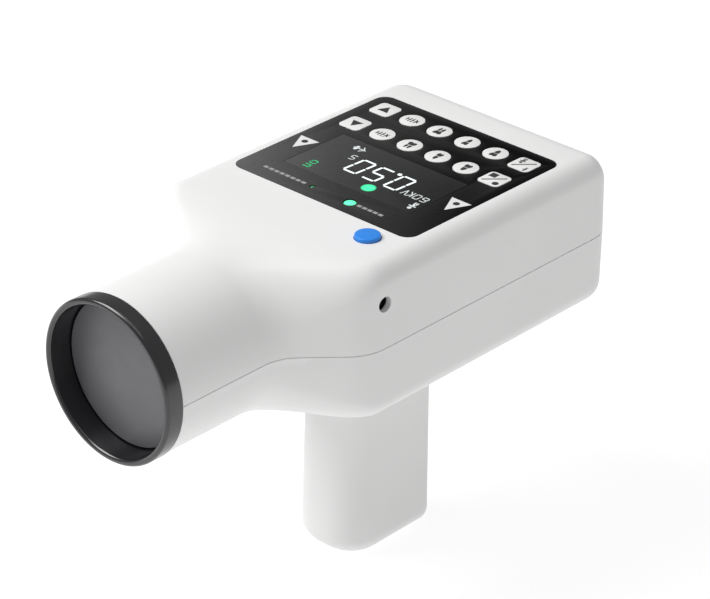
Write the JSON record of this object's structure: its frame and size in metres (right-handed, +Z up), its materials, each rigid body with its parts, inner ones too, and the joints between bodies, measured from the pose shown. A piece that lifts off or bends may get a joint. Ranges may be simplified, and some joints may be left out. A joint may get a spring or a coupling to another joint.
{
  "type": "handheld dental x-ray unit",
  "caption": "Handheld camera-style intraoral x-ray unit: boxy body, round beam cone with a dark rim, keypad panel, exposure button and battery grip.",
  "frame": {"origin": "centre of the grip's flat base, on the surface the unit stands on", "axes": "+Z up the grip, -Y along the beam out of the cone, +X towards the side with the charging jack"},
  "size_m": [0.11, 0.22, 0.1566],
  "materials": {
    "white_shell": "satin",
    "rim_grey": "gloss",
    "window_grey": "satin",
    "panel_black": "gloss",
    "display_smoke": "gloss",
    "key_white": "satin",
    "button_blue": "satin",
    "led_green": "gloss",
    "board_green": "satin",
    "black_plastic": "matte",
    "steel": "satin",
    "aluminium": "satin",
    "lead_grey": "matte",
    "copper": "satin",
    "tube_glass": "gloss",
    "cell_wrap": "satin"
  },
  "bodies": {
    "unit": {"upper_housing": "white_shell", "lower_housing": "white_shell", "grip_shell": "white_shell", "cone_rim": "rim_grey", "cone_window": "window_grey", "control_overlay": "panel_black", "display_window": "display_smoke", "button_spring": "steel", "exposure_switch": "black_plastic", "control_board": "board_green", "display_module": "black_plastic", "ready_led": "led_green", "exposure_led": "led_green", "buzzer": "black_plastic", "charging_jack": "black_plastic", "generator_case": "aluminium", "generator_lid": "aluminium", "tube_shield": "lead_grey", "tube_envelope": "tube_glass", "tube_anode": "copper", "tube_cathode": "steel", "transformer_core": "steel", "transformer_coil": "copper", "multiplier_board": "board_green", "collimator_tube": "aluminium", "aperture_plate": "lead_grey", "beam_filter": "aluminium", "battery_cell_1": "cell_wrap", "battery_cell_2": "cell_wrap", "battery_foot": "black_plastic", "battery_contact_board": "board_green", "housing_screw_1": "steel", "grip_screw_1": "steel", "housing_screw_2": "steel", "grip_screw_2": "steel", "housing_screw_3": "steel", "grip_screw_3": "steel", "housing_screw_4": "steel", "grip_screw_4": "steel"},
    "exposure_button_body": {"exposure_button": "button_blue"},
    "key_01_body": {"key_01": "key_white"},
    "key_02_body": {"key_02": "key_white"},
    "key_03_body": {"key_03": "key_white"},
    "key_04_body": {"key_04": "key_white"},
    "key_05_body": {"key_05": "key_white"},
    "key_06_body": {"key_06": "key_white"},
    "key_07_body": {"key_07": "key_white"},
    "key_08_body": {"key_08": "key_white"},
    "key_09_body": {"key_09": "key_white"},
    "key_10_body": {"key_10": "key_white"},
    "key_11_body": {"key_11": "key_white"},
    "key_12_body": {"key_12": "key_white"}
  },
  "joints": [
    {"name": "exposure_press", "type": "slide", "parent": "unit", "child": "exposure_button_body", "axis": [0, 0, -1], "range_m": [0, 0.0008], "stiffness_N_per_m": 500, "springref_m": -0.0012, "deforming": ["button_spring"]},
    {"name": "key_01_press", "type": "slide", "parent": "unit", "child": "key_01_body", "axis": [0, 0, -1], "range_m": [0, 0.0003], "stiffness_N_per_m": 800, "springref_m": -0.0006},
    {"name": "key_02_press", "type": "slide", "parent": "unit", "child": "key_02_body", "axis": [0, 0, -1], "range_m": [0, 0.0003], "stiffness_N_per_m": 800, "springref_m": -0.0006},
    {"name": "key_03_press", "type": "slide", "parent": "unit", "child": "key_03_body", "axis": [0, 0, -1], "range_m": [0, 0.0003], "stiffness_N_per_m": 800, "springref_m": -0.0006},
    {"name": "key_04_press", "type": "slide", "parent": "unit", "child": "key_04_body", "axis": [0, 0, -1], "range_m": [0, 0.0003], "stiffness_N_per_m": 800, "springref_m": -0.0006},
    {"name": "key_05_press", "type": "slide", "parent": "unit", "child": "key_05_body", "axis": [0, 0, -1], "range_m": [0, 0.0003], "stiffness_N_per_m": 800, "springref_m": -0.0006},
    {"name": "key_06_press", "type": "slide", "parent": "unit", "child": "key_06_body", "axis": [0, 0, -1], "range_m": [0, 0.0003], "stiffness_N_per_m": 800, "springref_m": -0.0006},
    {"name": "key_07_press", "type": "slide", "parent": "unit", "child": "key_07_body", "axis": [0, 0, -1], "range_m": [0, 0.0003], "stiffness_N_per_m": 800, "springref_m": -0.0006},
    {"name": "key_08_press", "type": "slide", "parent": "unit", "child": "key_08_body", "axis": [0, 0, -1], "range_m": [0, 0.0003], "stiffness_N_per_m": 800, "springref_m": -0.0006},
    {"name": "key_09_press", "type": "slide", "parent": "unit", "child": "key_09_body", "axis": [0, 0, -1], "range_m": [0, 0.0003], "stiffness_N_per_m": 800, "springref_m": -0.0006},
    {"name": "key_10_press", "type": "slide", "parent": "unit", "child": "key_10_body", "axis": [0, 0, -1], "range_m": [0, 0.0003], "stiffness_N_per_m": 800, "springref_m": -0.0006},
    {"name": "key_11_press", "type": "slide", "parent": "unit", "child": "key_11_body", "axis": [0, 0, -1], "range_m": [0, 0.0003], "stiffness_N_per_m": 800, "springref_m": -0.0006},
    {"name": "key_12_press", "type": "slide", "parent": "unit", "child": "key_12_body", "axis": [0, 0, -1], "range_m": [0, 0.0003], "stiffness_N_per_m": 800, "springref_m": -0.0006}
  ]
}
